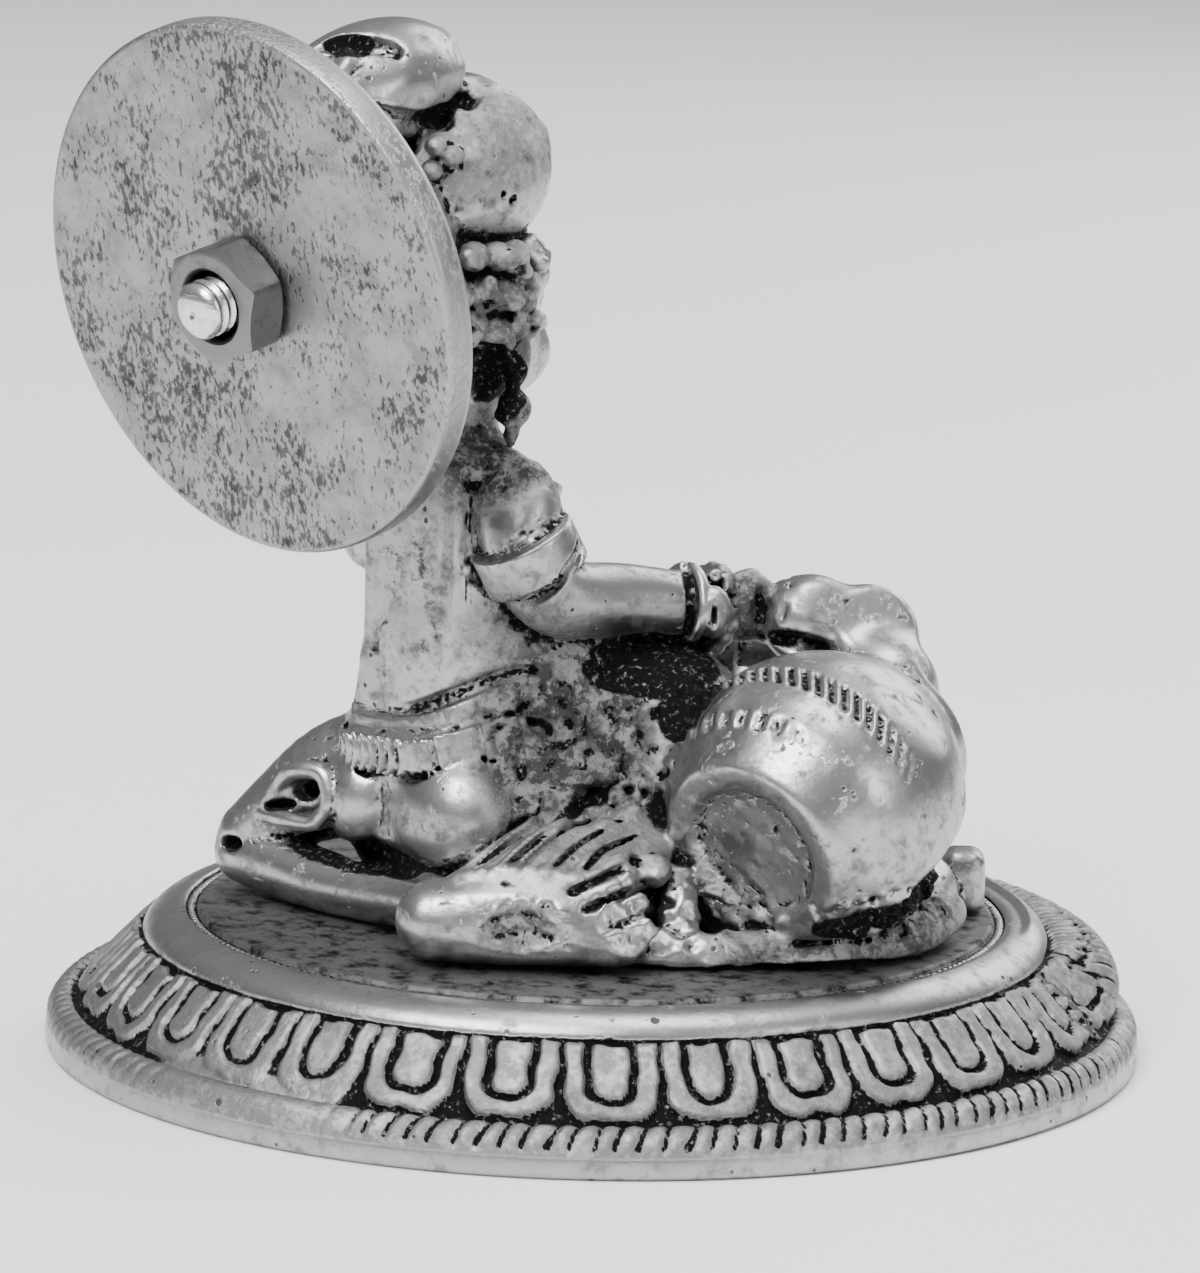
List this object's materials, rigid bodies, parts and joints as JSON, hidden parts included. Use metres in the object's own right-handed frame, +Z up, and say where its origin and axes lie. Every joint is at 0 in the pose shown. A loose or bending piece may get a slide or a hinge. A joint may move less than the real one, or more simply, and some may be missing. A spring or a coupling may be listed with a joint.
{
  "type": "seated child statuette",
  "caption": "Small cast statuette of a seated child reaching into a tipped butter pot, on an oval lotus base, with a round halo plate bolted behind the head.",
  "frame": {"origin": "centre of the base's flat underside", "axes": "+Z up, the figure faces -Y, its right hand and the pot are towards -X"},
  "size_m": [0.0708, 0.0726, 0.0694],
  "materials": {
    "base_silver": "cast white metal, antique silver with black left in the hollows and the high places polished",
    "figure_silver": "cast white metal, antique silver, polished limbs and rough dark hollows",
    "halo_silver": "filed and brushed cast plate with dark pits",
    "nut_steel": "dull dark steel",
    "stud_steel": "bright worn steel thread"
  },
  "bodies": {
    "root": {"base": "base_silver", "figure": "figure_silver", "halo": "halo_silver", "halo_nut": "nut_steel", "halo_stud": "stud_steel"}
  },
  "joints": []
}
